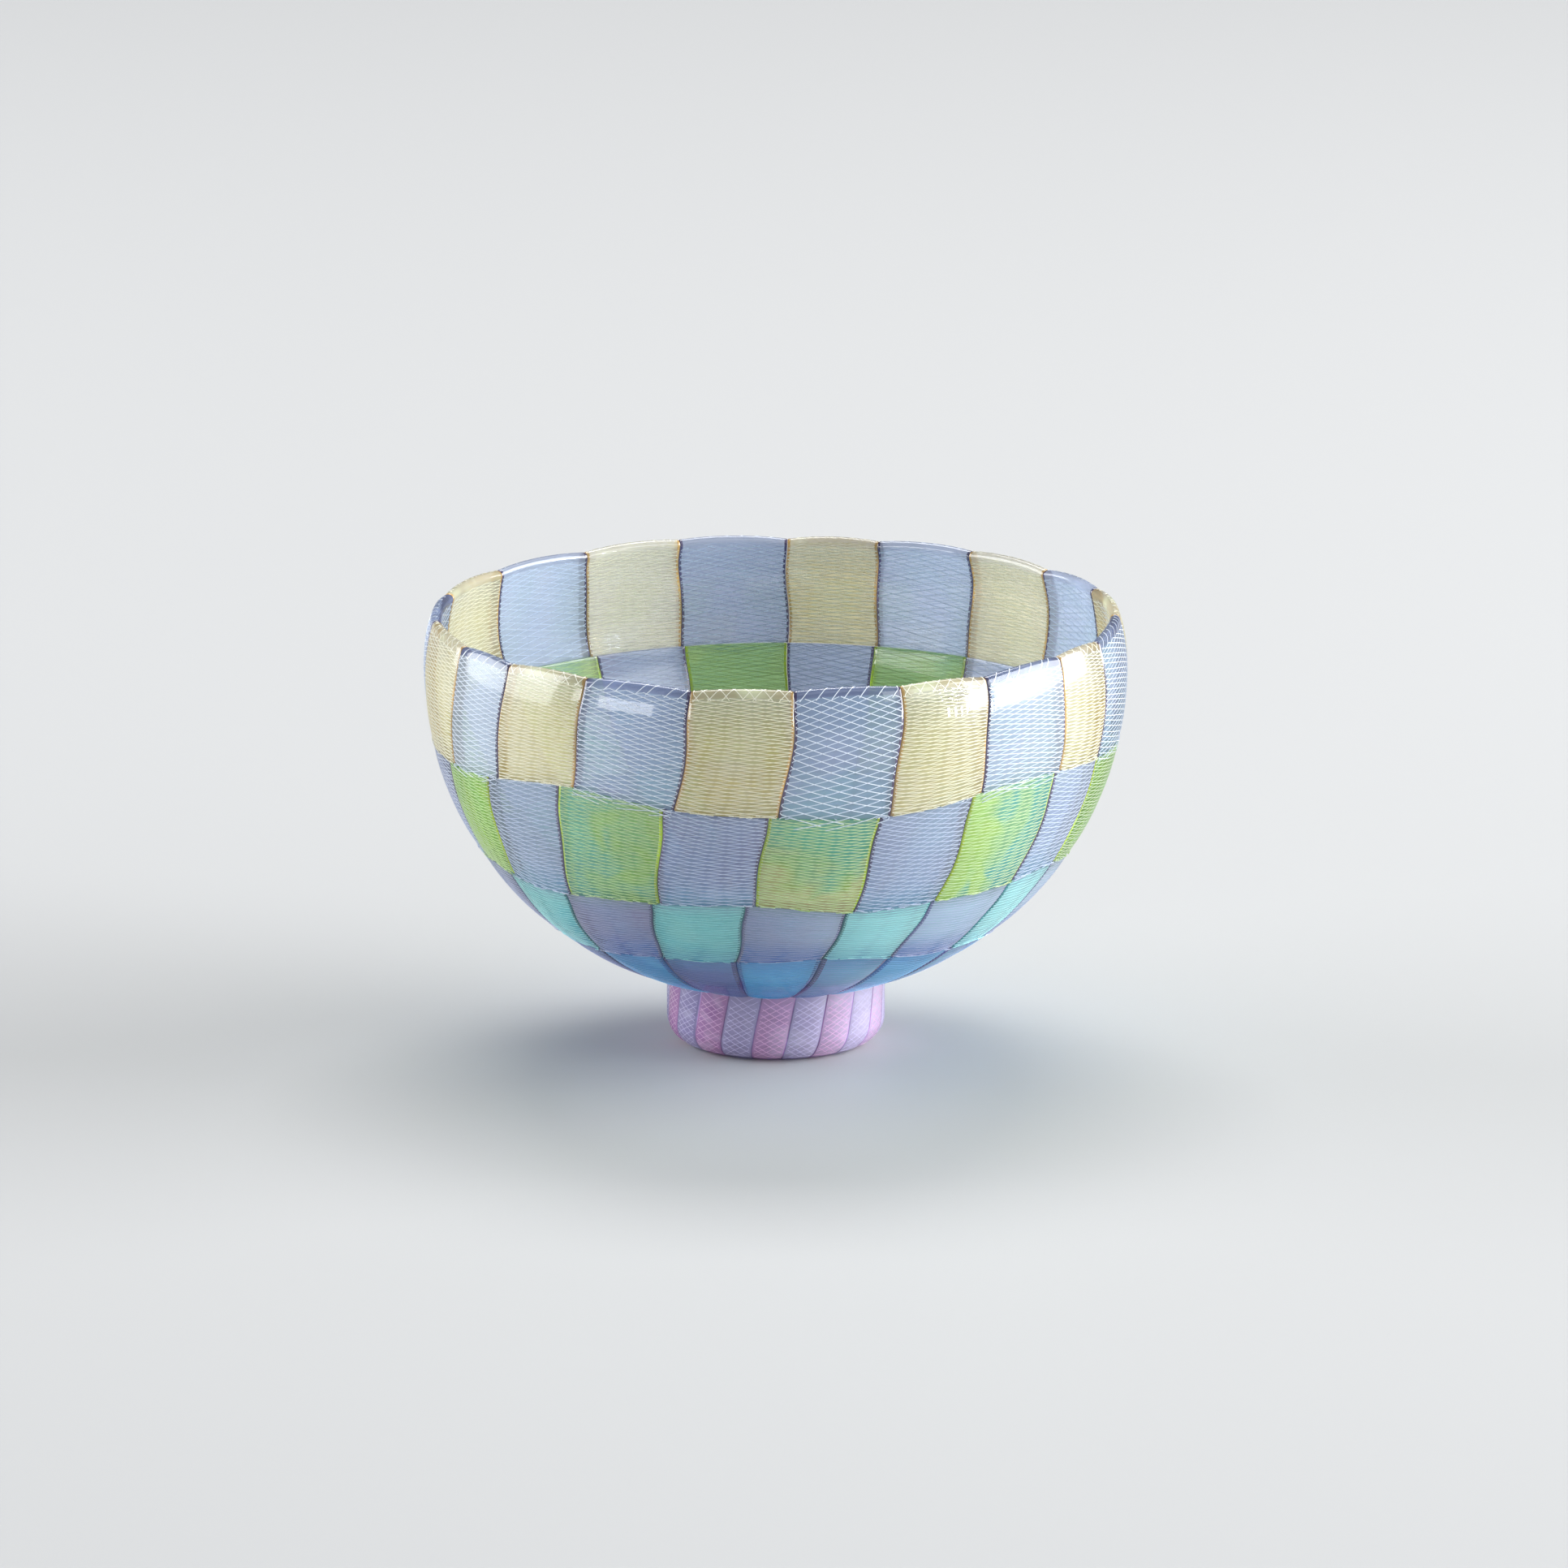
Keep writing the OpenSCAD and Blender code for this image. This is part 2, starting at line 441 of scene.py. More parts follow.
def surface_point(column, row, u, s, lift, inside):
    """Point lifted off a tile's face, and its normal; on the rim, s below 0 goes over the lip."""
    width, length = tile_width(column, row), row_length(row)
    v = np.clip(s / length, 0, None)
    az, angle = on_tile(column, row, u, v)
    depth = face_depth(column, row, u, np.minimum(v, 1), width, length, inside)
    depth = np.where(v > 1 - ROUND_W / length, -OVERRUN_LIFT, depth)
    away = to_xyz(az, cos_d(angle), 0) + np.stack([0 * az, 0 * az, sin_d(angle)], -1)
    if inside:
        away = -away
    point = wall_xyz(az, angle, depth)
    if row == RIM:
        over = np.degrees(np.clip(-s / LIP_R, 0, 1.7))
        up = to_xyz(az, -sin_d(angle), 0) + np.stack([0 * az, 0 * az, cos_d(angle)], -1)
        centre = point - away * LIP_R
        turned = away * cos_d(over)[..., None] + up * sin_d(over)[..., None]
        point = np.where((s < 0)[..., None], centre + turned * LIP_R, point)
        away = np.where((s < 0)[..., None], turned, away)
    return point + away * lift, away


def add_threads(parts, path, away, half_w, material):
    """Closed flat threads along paths (thread, point, 3), flush with a surface of normals away."""
    ahead = np.gradient(path, axis=1)
    ahead /= np.linalg.norm(ahead, axis=-1, keepdims=True)
    side = np.cross(away, ahead)
    side /= np.linalg.norm(side, axis=-1, keepdims=True)
    low = away * THREAD_DEPTH
    ring = [side * half_w, -side * half_w, -side * half_w * 0.8 - low, side * half_w * 0.8 - low]
    verts = path[:, :, None] + np.stack(ring, 2)
    threads, points = path.shape[:2]
    number = np.arange(threads * points * 4).reshape(threads, points, 4)
    following = np.roll(number, -1, 2)
    quads = np.stack([following[:, :-1], following[:, 1:], number[:, 1:], number[:, :-1]], -1)
    ends = np.concatenate([number[:, 0, ::-1], number[:, -1]])
    faces = np.concatenate([quads.reshape(-1, 4), ends])
    parts.add(verts.reshape(-1, 3), [faces], [np.full(len(faces), material)])


def thread_ends(share, path, low, high):
    """Where across a tile a thread starts and ends, if it may only lie between two values of s."""
    ok = np.flatnonzero((path > low) & (path < high))
    if len(ok) < 2:
        return None
    ends = []
    for last, beyond in ((ok[0], ok[0] - 1), (ok[-1], ok[-1] + 1)):
        if not 0 <= beyond < len(path):
            ends.append(share[last])
            continue
        limit = low if path[beyond] <= low else high
        part = (limit - path[last]) / (path[beyond] - path[last])
        ends.append(mix(share[last], share[beyond], part))
    return ends


def tile_threads(parts, column, row, look, inside, falling, material):
    """One set of a tile's threads: they cross it on a slope and wrap round its two edges."""
    width, length = tile_width(column, row), row_length(row)
    wider, steeper = look.bold.get(column, (1, 1))
    pitch = look.pitch * wider * (INNER_SPREAD if inside else 1)
    slopes = [angle * steeper for angle in look.slope]
    overrun = 0 if inside else look.overrun
    low, high = LIP_BAND if row == RIM else 0.1, length - 0.12 + overrun
    reach = width * math.tan(math.radians(max(slopes)))
    count = int((high - low + 2 * reach) / pitch)
    rng = np.random.default_rng(1000 * row + 10 * column + 2 * inside + falling)
    middle = low - reach + (high - low + 2 * reach) * np.linspace(0, 1, count) ** look.crowd
    middle += rng.normal(0, HEIGHT_SPREAD, count)
    slope = mix(slopes[0], slopes[1], np.clip(middle / length, 0, 1) ** 0.8)
    slope += rng.normal(0, SLOPE_SPREAD, count)
    sag = rng.uniform(*SAG_SHARES) * look.sag
    middle_x = stops(width, STEP_ACROSS, EDGE_STEPS)[3:-3]
    x = np.concatenate([THREAD_STEPS, middle_x, width - np.array(THREAD_STEPS[::-1])])
    share = x / width
    sign = 1 if falling else -1
    near_edge = np.clip(1 - np.minimum(x, width - x) / EDGE_W, 0, 1)
    s = middle[:, None] + sign * np.tan(np.radians(slope))[:, None] * (x - width / 2)
    s += sign * pitch * END_HOOK * near_edge * np.sign(share - 0.5)
    s += sag * 4 * share * (1 - share)
    runs = {}
    for path, end in zip(s, high - rng.uniform(0, overrun, count)):
        ends = thread_ends(share, path, low, end)
        if ends and ends[1] - ends[0] > LEAST_SHARE:
            between = share[(share > ends[0] + 0.004) & (share < ends[1] - 0.004)]
            u = np.concatenate([ends[:1], between, ends[1:]])
            runs.setdefault(len(u), []).append((u, np.interp(u, share, path)))
    lift = look.lift if falling else look.lift / 2
    for run in runs.values():
        u, down = np.moveaxis(np.array(run), 1, 0)
        point, away = surface_point(column, row, u, down, lift, inside)
        add_threads(parts, point, away, look.width * wider**0.5 / 2, material)


def lip_threads(parts, column, look):
    """The few threads that run on over the lip, all leaning one way or crossing."""
    width = tile_width(column, RIM)
    for lean in look.lip_leans:
        count = int(width / look.lip_pitch)
        rng = np.random.default_rng(4000 + 10 * column + lean)
        middle = (np.arange(count) + 0.5) / count + rng.normal(0, 0.02, count)
        along = lean * (LIP_THREAD_MIDDLE - LIP_THREAD_S[None, :]) * LIP_THREAD_LEAN
        u = np.clip((middle[:, None] * width + along) / width, 0.03, 0.97)
        s = np.broadcast_to(LIP_THREAD_S, u.shape)
        point, away = surface_point(column, RIM, u, s, 0.012, False)
        add_threads(parts, point, away, LIP_THREAD_HALF_W, 0)


def joint_dashes(parts, column, row, look):
    """The cut ends of the threads, a broken pale line just above the joint under a row."""
    width, length = tile_width(column, row), row_length(row)
    rng = np.random.default_rng(6000 + 100 * row + column)
    count = int(width / look.dash_pitch)
    middle = (np.arange(count) + 0.5) / count * width + rng.normal(0, 0.15, count)
    half = rng.uniform(*DASH_SHARES, count) * look.dash_pitch
    x = middle[:, None] + half[:, None] * np.linspace(-1, 1, 4)[None, :]
    s = length - DASH_UP + DASH_SLOPE * (x - middle[:, None])
    s = s + rng.normal(0, 0.06, count)[:, None]
    point, away = surface_point(column, row, np.clip(x / width, 0.03, 0.97), s, 0.02, False)
    add_threads(parts, point, away, DASH_HALF_W, 0)


# ---------------------------------------------------------------- materials
def colour(rgb, shade=1.0):
    """A colour given as it looks on a screen, as the linear values that shaders use."""
    share = np.clip(np.array(rgb) * shade / 255, 0, 1)
    linear = np.where(share > 0.04, ((share + 0.055) / 1.055) ** 2.4, share / 12.92)
    return (*linear.tolist(), 1)


class Nodes:
    """A material's node tree, built one node at a time."""

    def __init__(self, name):
        self.material = bpy.data.materials.new(name)
        self.material.use_nodes = True
        self.tree = self.material.node_tree
        self.tree.nodes.clear()

    def add(self, kind, settings=None, **inputs):
        """A node with its settings; inputs are named, with _ for a space, or i and their number."""
        node = self.tree.nodes.new("ShaderNode" + kind)
        for key, value in (settings or {}).items():
            setattr(node, key, value)
        for key, value in inputs.items():
            numbered = key[0] == "i" and key[1:].isdigit()
            socket = node.inputs[int(key[1:]) if numbered else key.replace("_", " ")]
            if isinstance(value, bpy.types.NodeSocket):
                self.tree.links.new(value, socket)
            else:
                socket.default_value = value
        return node

    def noise(self, vector, scale, detail=2.0, distortion=0.0):
        shape = {"Scale": scale, "Detail": detail, "Distortion": distortion}
        return self.add("TexNoise", None, Vector=vector, **shape).outputs["Fac"]

    def ramp(self, value, low, high, to_low=0.0, to_high=1.0):
        return self.add(
            "MapRange", {"interpolation_type": "SMOOTHSTEP"},
            i0=value, i1=low, i2=high, i3=to_low, i4=to_high,
        ).outputs[0]

    def blend(self, share, a, b):
        return self.add("Mix", {"data_type": "RGBA"}, i0=share, i6=a, i7=b).outputs[2]

    def math(self, operation, a, b):
        return self.add("Math", {"operation": operation}, i0=a, i1=b).outputs[0]

    def finish(self, shader):
        self.add("OutputMaterial", None, Surface=shader)
        return self.material


# The coat is only a part of the mix, so its index is raised until the whole reflects as glass does
COAT_IOR = 2.2
COAT_ROUGHNESS = 0.006
INNER_GLOSS = 0.1
# The middle of a usual tile, where a tint that drifts is the same as one that doesn't
MIDDLE_U = 9
MIDDLE_S = 8
# Painted light, as if lit from the right: where the tints start and stop turning paler from
# left to right, in metres
PAINTED_LIGHT_FROM = -0.012
PAINTED_LIGHT_TO = 0.024


def glass(
    name, tints, clear=0.5, glow=0.4, clear_tint=(230, 236, 246), swirl=60, warp=0.4, drift=(0, 0),
    fades=(), paler=None, gloss=COAT_ROUGHNESS,
):
    """Milky tinted glass: softly swirled colour, streaks along the threads, and some see-through.

    clear is the share of plain glass, and glow the share of the rest that lets light through. drift
    is how fast the first tint turns into the second, and away from the third, along u and s. Each
    fade is (s, s, share, share, colour): another colour's share at two places down the tile. The
    pale colour and its share for the right of the bowl are painted light, as if lit from that side.
    """
    n = Nodes(name)
    place = n.add("TexCoord").outputs["Object"]
    lace = n.add("UVMap", {"uv_map": "lace"}).outputs["UV"]
    first, second = n.noise(place, swirl, 1.0, warp), n.noise(place, swirl * 1.7, 1.0, warp)
    if any(drift):
        along = n.add("VectorMath", {"operation": "DOT_PRODUCT"}, i0=lace, i1=(*drift, 0))
        at_middle = MIDDLE_U * drift[0] + MIDDLE_S * drift[1]
        along = n.math("SUBTRACT", along.outputs["Value"], at_middle)
        first, second = n.math("ADD", first, along), n.math("SUBTRACT", second, along)
    base = n.blend(n.ramp(first, 0.38, 0.62), colour(tints[0]), colour(tints[1]))
    base = n.blend(n.ramp(second, 0.5, 0.72), base, colour(tints[2]))
    # Painted light: the tints turn paler towards the right of the bowl, as if lit from that side
    if paler:
        right = n.add("SeparateXYZ", None, Vector=place).outputs["X"]
        share = n.ramp(right, PAINTED_LIGHT_FROM, PAINTED_LIGHT_TO, 0, paler[1])
        base = n.blend(share, base, colour(paler[0]))
    down = n.add("SeparateXYZ", None, Vector=lace).outputs["Y"]
    for low, high, at_low, at_high, tint in fades:
        base = n.blend(n.ramp(down, low, high, at_low, at_high), base, colour(tint))
    drawn = n.add("Mapping", None, Vector=lace, Scale=(0.04, 0.6, 1)).outputs[0]
    streak = n.ramp(n.noise(drawn, 1.6, 2.0, 0.2), 0.3, 0.7, 0.95, 1.05)
    base = n.add("VectorMath", {"operation": "SCALE"}, Vector=base, Scale=streak).outputs[0]
    roughness = n.ramp(n.noise(place, 220, 2.0), 0.3, 0.7, 0.1, 0.2)
    waves = n.noise(place, 160, 1.0)
    ripple = n.add("Bump", None, Strength=0.04, Distance=0.0003, Height=waves).outputs[0]
    skin = n.add(
        "BsdfPrincipled", None, Base_Color=base, Roughness=roughness, IOR=1.5, Normal=ripple,
        Coat_Weight=1.0, Coat_Roughness=gloss, Coat_IOR=COAT_IOR,
    ).outputs[0]
    through = n.add("BsdfTranslucent", None, Color=base).outputs[0]
    milk = n.add("MixShader", None, i0=glow, i1=skin, i2=through).outputs[0]
    window = n.add("BsdfTransparent", None, Color=colour(clear_tint)).outputs[0]
    return n.finish(n.add("MixShader", None, i0=clear, i1=milk, i2=window).outputs[0])


def milkier(tints):
    """Paler tints, for the milky lining of the bowl."""
    return [[mix(c, 242, 0.45) for c in rgb] for rgb in tints]


def shades(rgb):
    """Three shades of one colour."""
    return [rgb, [c * 0.88 for c in rgb], [c * 1.2 for c in rgb]]


def enamel(name, rgb):
    """The opaque glass of the threads."""
    n = Nodes(name)
    skin = n.add(
        "BsdfPrincipled", None, Base_Color=colour(rgb), Roughness=0.3, IOR=1.5,
        Coat_Weight=1.0, Coat_Roughness=COAT_ROUGHNESS,
    ).outputs[0]
    return n.finish(skin)


def look(**own):
    """How one kind of tile looks: its glass as in glass(), its edge, its lip and its threads.

    by_column has the tints of single columns, and drift their drifts. The columns listed for a
    milkier lip get painted glare: their lips are paler, as if lit by the lamps at the back and
    left.
    over, under and inner colour the threads of the falling set, the rising set and the
    inner face. slope is theirs at the top and at the bottom of the tile, crowd above 1 packs them
    closer at the top, and bold makes a column's net wider and steeper. overrun is how far they run
    on over the joint below.
    """
    common = dict(
        clear=0.5, glow=0.4, clear_tint=(230, 236, 246), swirl=60, warp=0.4, fades=(), paler=None,
        drift={}, by_column={}, lip=None, lip_leans=(), lip_pitch=2.6, pale_lips=(), width=0.12,
        lift=0.018, crowd=1.05, sag=0.2, bold={}, overrun=0, dash_pitch=0,
    )
    return SimpleNamespace(**{**common, **own})


PALE_LAVENDER = [(190, 203, 222), (180, 199, 214), (200, 208, 228)]
PALE_STRAW = [(224, 222, 200), (216, 214, 186), (232, 230, 214)]
LOOKS = {
    "rim_lavender": look(
        slot="lavender_glass", tints=[(164, 182, 203), (152, 181, 196), (176, 184, 211)],
        edge=(84, 70, 106), lip=(134, 144, 176),
        over=(228, 235, 244), under=(202, 213, 228), inner=(190, 202, 222),
        clear_tint=(232, 238, 250), pitch=0.88, slope=(15, 10), width=0.12, bold={4: (1.35, 1.4)},
        by_column={
            0: [(202, 212, 216), (194, 208, 210), (210, 218, 222)],
            6: [(190, 206, 220), (182, 202, 214), (198, 210, 226)],
            10: PALE_LAVENDER, 12: PALE_LAVENDER, 16: PALE_LAVENDER,
            14: [(138, 150, 178), (130, 146, 172), (150, 158, 190)],
        },
        # The lips of these back columns are paler: painted glare
        crowd=1.1, sag=0.3, overrun=2.2, lip_leans=(1,), pale_lips=(10, 12, 14, 16),
    ),
    "rim_straw": look(
        slot="straw_glass", tints=[(218, 210, 160), (210, 197, 130), (228, 224, 192)],
        edge=(208, 170, 104), lip=(232, 216, 180),
        over=(234, 232, 214), under=(224, 220, 192), inner=(228, 224, 200),
        clear_tint=(250, 246, 230), pitch=0.62, slope=(9, 5), width=0.11,
        lip_leans=(1, -1), lip_pitch=2.3, dash_pitch=2.2,
        fades=[(0, 9, 0.7, 0, (206, 208, 200))],
        by_column={
            3: [(204, 196, 138), (198, 184, 106), (212, 206, 168)],
            11: PALE_STRAW, 15: [(232, 234, 236), (226, 228, 228), (238, 240, 242)],
        },
        # The lips of these back columns are paler: painted glare
        pale_lips=(11, 15),
    ),
    "belly_green": look(
        slot="green_glass", tints=[(134, 172, 84), (116, 168, 104), (162, 188, 80)],
        edge=(188, 212, 44),
        by_column={
            0: [(164, 208, 24), (134, 200, 60), (188, 220, 30)],
            2: [(136, 188, 142), (114, 186, 188), (162, 202, 104)],
            4: [(170, 194, 88), (100, 188, 180), (220, 200, 152)],
            6: [(162, 210, 166), (114, 200, 214), (204, 236, 124)],
            8: [(134, 178, 22), (106, 164, 56), (160, 194, 30)],
        },
        drift={2: (-0.012, 0), 4: (0.012, -0.03), 6: (0.04, 0)}, swirl=75, warp=0.8,
        over=(204, 217, 176), under=(182, 205, 146), inner=(150, 182, 104),
        clear_tint=(224, 246, 210), pitch=0.62, slope=(8, 6), width=0.09, dash_pitch=2.4,
        fades=[(0, 2.4, 0.4, 0, (150, 182, 184))],
    ),
    "belly_lavender": look(
        slot="lavender_glass", tints=[(148, 166, 194), (148, 150, 180), (158, 176, 210)],
        edge=(98, 88, 122),
        over=(198, 208, 227), under=(172, 184, 209), inner=(172, 184, 208),
        # The pale colour for the right of the bowl is painted light
        clear_tint=(228, 234, 248), paler=((206, 220, 234), 0.6),
        pitch=0.78, slope=(11, 7), width=0.11, dash_pitch=2.4,
        by_column={1: [(160, 178, 188), (154, 172, 182), (168, 184, 196)]},
        bold={5: (1.1, 1.5)}, fades=[(14, 20.5, 0, 0.6, (124, 190, 212))],
    ),
    "lower_heather": look(
        slot="heather_glass", tints=[(148, 158, 188), (154, 150, 180), (138, 162, 196)],
        edge=(102, 106, 142),
        over=(166, 174, 202), under=(156, 166, 196), inner=(148, 160, 192), clear=0.38,
        clear_tint=(228, 228, 246), pitch=0.64, slope=(5, 3), width=0.08, dash_pitch=2.8,
        fades=[(0, 3, 0.7, 0, (146, 172, 166)), (8, 16, 0, 0.9, (58, 126, 204))],
        # The pale colour for the right of the bowl is painted light
        paler=((214, 244, 252), 0.95),
    ),
    "lower_aqua": look(
        slot="aqua_glass", tints=[(132, 206, 206), (120, 210, 218), (150, 214, 210)],
        edge=(52, 124, 130),
        over=(164, 222, 222), under=(148, 216, 216), inner=(136, 208, 210), clear=0.38,
        clear_tint=(216, 246, 246), pitch=0.64, slope=(5, 3), width=0.08, dash_pitch=2.8,
        fades=[(0, 3, 0.7, 0, (154, 174, 194)), (10, 16, 0, 0.6, (84, 158, 204))],
        # The pale colour for the right of the bowl is painted light
        paler=((206, 246, 250), 0.85),
    ),
    "bottom_blue": look(
        slot="blue_glass", tints=[(92, 196, 236), (82, 182, 228), (116, 214, 244)],
        edge=(48, 110, 174),
        over=(102, 180, 226), under=(92, 172, 222), inner=(88, 164, 214), clear=0.3,
        clear_tint=(200, 226, 248), pitch=0.8, slope=(4, 2), width=0.07,
        # The pale colour for the right of the bowl is painted light
        fades=[(0, 6, 0.6, 0, (118, 152, 204))], paler=((136, 214, 244), 0.6),
    ),
    "bottom_purple": look(
        slot="purple_glass", tints=[(116, 136, 190), (104, 130, 190), (128, 148, 202)],
        edge=(66, 74, 136),
        over=(128, 142, 190), under=(120, 134, 184), inner=(116, 130, 180), clear=0.3,
        clear_tint=(212, 212, 244), pitch=0.8, slope=(4, 2), width=0.07,
        # The pale colour for the right of the bowl is painted light
        fades=[(0, 6, 0.8, 0, (104, 166, 200))], paler=((160, 238, 252), 0.95),
    ),
}

# Shares of plain glass in a tile's edge and in its lip
EDGE_CLEAR = 0.08
LIP_CLEAR = 0.42
# The two kinds of tile that take turns in each row, the first of them in column 0
ROWS = [
    (RIM, "rim_lavender", "rim_straw"),
    (BELLY, "belly_green", "belly_lavender"),
    (LOWER, "lower_heather", "lower_aqua"),
    (BOTTOM, "bottom_blue", "bottom_purple"),
]


def tile_materials(kind, column=None):
    """The glass of a tile's body, edge, inner face and lip."""
    own = LOOKS[kind]
    name = kind if column is None else f"{kind}_{column // 2 + 1:02d}"
    tints = own.by_column.get(column, own.tints)
    common = dict(
        clear=own.clear, glow=own.glow, clear_tint=own.clear_tint, swirl=own.swirl, warp=own.warp,
        drift=own.drift.get(column, (0, 0)), fades=own.fades, paler=own.paler,
    )
    body = glass(name + "_glass", tints, **common)
    inner = glass(name + "_inner_glass", milkier(tints), gloss=INNER_GLOSS, **common)
    materials = [body, glass(name + "_edge", shades(own.edge), clear=EDGE_CLEAR), inner]
    if own.lip:
        # Painted glare: the listed back columns get paler lips
        lip = milkier(shades(own.lip)) if column in own.pale_lips else shades(own.lip)
        materials.append(glass(name + "_lip", lip, clear=LIP_CLEAR))
    return materials


def make_row(row, kind, first):
    """The tiles and threads of every second column of a row."""
    own = LOOKS[kind]
    columns = range(first, COLUMNS, 2)
    shared = tile_materials(kind)
    if row in (RIM, BELLY):
        for column in columns:
            tile = Parts()
            add_tile(tile, column, row)
            node = f"{kind}_{column // 2 + 1:02d}"
            materials = tile_materials(kind, column) if column in own.by_column else shared
            hand_in(tile.mesh(node + "_tile", materials), own.slot, node)
    else:
        tiles = Parts()
        for column in columns:
            add_tile(tiles, column, row)
        hand_in(tiles.mesh(kind + "_glass_tiles", shared), own.slot, kind + "_tiles")
    lace = Parts()
    for column in columns:
        tile_threads(lace, column, row, own, False, True, 0)
        if row != BOTTOM:
            tile_threads(lace, column, row, own, False, False, 1)
        tile_threads(lace, column, row, own, True, False, 2)
        if row in (RIM, BELLY):
            tile_threads(lace, column, row, own, True, True, 2)
        if row == RIM:
            lip_threads(lace, column, own)
        if own.dash_pitch:
            joint_dashes(lace, column, row, own)
    colours = {"over": own.over, "under": own.under, "inner": own.inner}
    threads = [enamel(f"{kind}_{place}_thread", rgb) for place, rgb in colours.items()]
    hand_in(lace.mesh(kind + "_threads", threads), own.slot)


# ---------------------------------------------------------------- base disc and foot
# The disc's outside: angles down the wall's arc, and how far it swells there
DISC_ANGLES = [BASE_ANGLE, -86, -88, -90]
DISC_SWELL = [0, 0.04, 0.05, 0.05]
# The dimple under its middle: radius and height above the disc's lowest point of its steps
DISC_DIMPLE = [(2.6, -0.05), (2.1, 0.15), (1.0, 0.28)]
DIMPLE_H = 0.3
DISC_STEPS = 72


def add_base_disc():
    """The button of glass where the bottom row closes, flat on top and dimpled underneath."""
    under = [wall_section(angle, -swell) for angle, swell in zip(DISC_ANGLES, DISC_SWELL)]
    under += [(r, BASE_Z + z) for r, z in DISC_DIMPLE]
    over = [(DISC_DIMPLE[-1][0], BASE_Z + WALL_T)]
    over += [wall_section(angle, WALL_T) for angle in DISC_ANGLES[::-1]]
    profile = under + over
    edge = (0, len(profile) - 1)
    az = np.linspace(0, 360, DISC_STEPS, endpoint=False)
    rings = [to_xyz(az, r - GAP * (i in edge), z) for i, (r, z) in enumerate(profile)]
    middle = [[0, 0, BASE_Z + DIMPLE_H], [0, 0, BASE_Z + WALL_T]]
    verts = np.concatenate([np.stack(rings, 1).reshape(-1, 3), middle])
    number = np.arange(DISC_STEPS * len(profile)).reshape(DISC_STEPS, -1)
    turned = np.roll(number, -1, 0)
    following = np.roll(number, -1, 1)
    quads = np.stack([number, turned, np.roll(turned, -1, 1), following], -1)
    low, top = len(under) - 1, len(under)
    quads = np.delete(quads, low, 1).reshape(-1, 4)
    below, above = np.full((2, DISC_STEPS), [[len(verts) - 2], [len(verts) - 1]])
    fan_low = np.stack([number[:, low], below, turned[:, low]], -1)[:, ::-1]
    fan_top = np.stack([number[:, top], turned[:, top], above], -1)[:, ::-1]
    faces = [quads, fan_low, fan_top]
    disc = Parts()
    disc.add(verts, faces, [np.full(len(f), BODY) for f in faces], verts[:, :2])
    own = LOOKS["bottom_blue"]
    material = glass(
        "base_disc_glass", own.tints, own.clear, own.glow, own.clear_tint, gloss=INNER_GLOSS,
    )
    hand_in(disc.mesh("base_disc_glass", [material]), "blue_glass", "base_disc")


STAVES = 20
FIRST_STAVE = -83
FOOT_EDGE_R = 4.5
FOOT_REST_W = 2.0
FOOT_TURN = 7.5
# How far a stave's face swells, how far its top is sunk into the bowl, and its rest's inner edge
FOOT_PILLOW = 0.22
FOOT_TOP_IN = 0.35
REST_CHAMFER = 0.3
# Half of the width of the staves' threads, their slope, and how many run each way
STAVE_THREAD_HALF_W = 0.045
STAVE_THREAD_SLOPE = 30
STAVE_THREADS = 10
# Height from which s runs down the staves
STAVE_TOP = 20
# Where across a stave the columns of its mesh stand
STAVE_U = [0.004, 0.03, 0.08, 0.2, 0.35, 0.5, 0.65, 0.8, 0.92, 0.97, 0.996]


def wall_under_z(r):
    """Height of the underside of the bowl at a radius."""
    return BELLY_Z - np.sqrt(WALL_ARC_R**2 - (r - ARC_AXIS_R) ** 2)


def foot_section():
    """Points (r, z, share of the swell) round a stave's section, down its outside and back up."""
    foot_h = wall_under_z(FOOT_R)
    edge_x, bore_r = FOOT_R - FOOT_EDGE_R, FOOT_R - FOOT_EDGE_R - FOOT_REST_W
    points = [(FOOT_R, z, 1) for z in np.linspace(foot_h + FOOT_TOP_IN, FOOT_EDGE_R, 9)]
    for a in np.linspace(0, 90, 10)[1:]:
        r, z = edge_x + FOOT_EDGE_R * cos_d(a), FOOT_EDGE_R * (1 - sin_d(a))
        points.append((r, z, 1 if a < 80 else 0))
    points += [(bore_r + REST_CHAMFER, 0, 0), (bore_r, REST_CHAMFER, 0)]
    points += [(bore_r, z, 0) for z in np.linspace(2, wall_under_z(bore_r) + FOOT_TOP_IN, 6)]
    top_r = np.linspace(bore_r + 1.2, FOOT_R - 1.2, 4)
    points += [(r, wall_under_z(r) + FOOT_TOP_IN, 0) for r in top_r]
    return np.array(points, float)


def stave_az(stave, z, u):
    """Azimuth of a point of a stave: the staves lean with their height."""
    foot_h = wall_under_z(FOOT_R)
    return FIRST_STAVE + 360 / STAVES * (stave + u) + FOOT_TURN * (z / foot_h - 0.5)


def stave_swell(u):
    """How far a stave's outside swells at a share u of the way across it."""
    return FOOT_PILLOW * (1 - np.abs(2 * u - 1) ** 3 - 0.6)


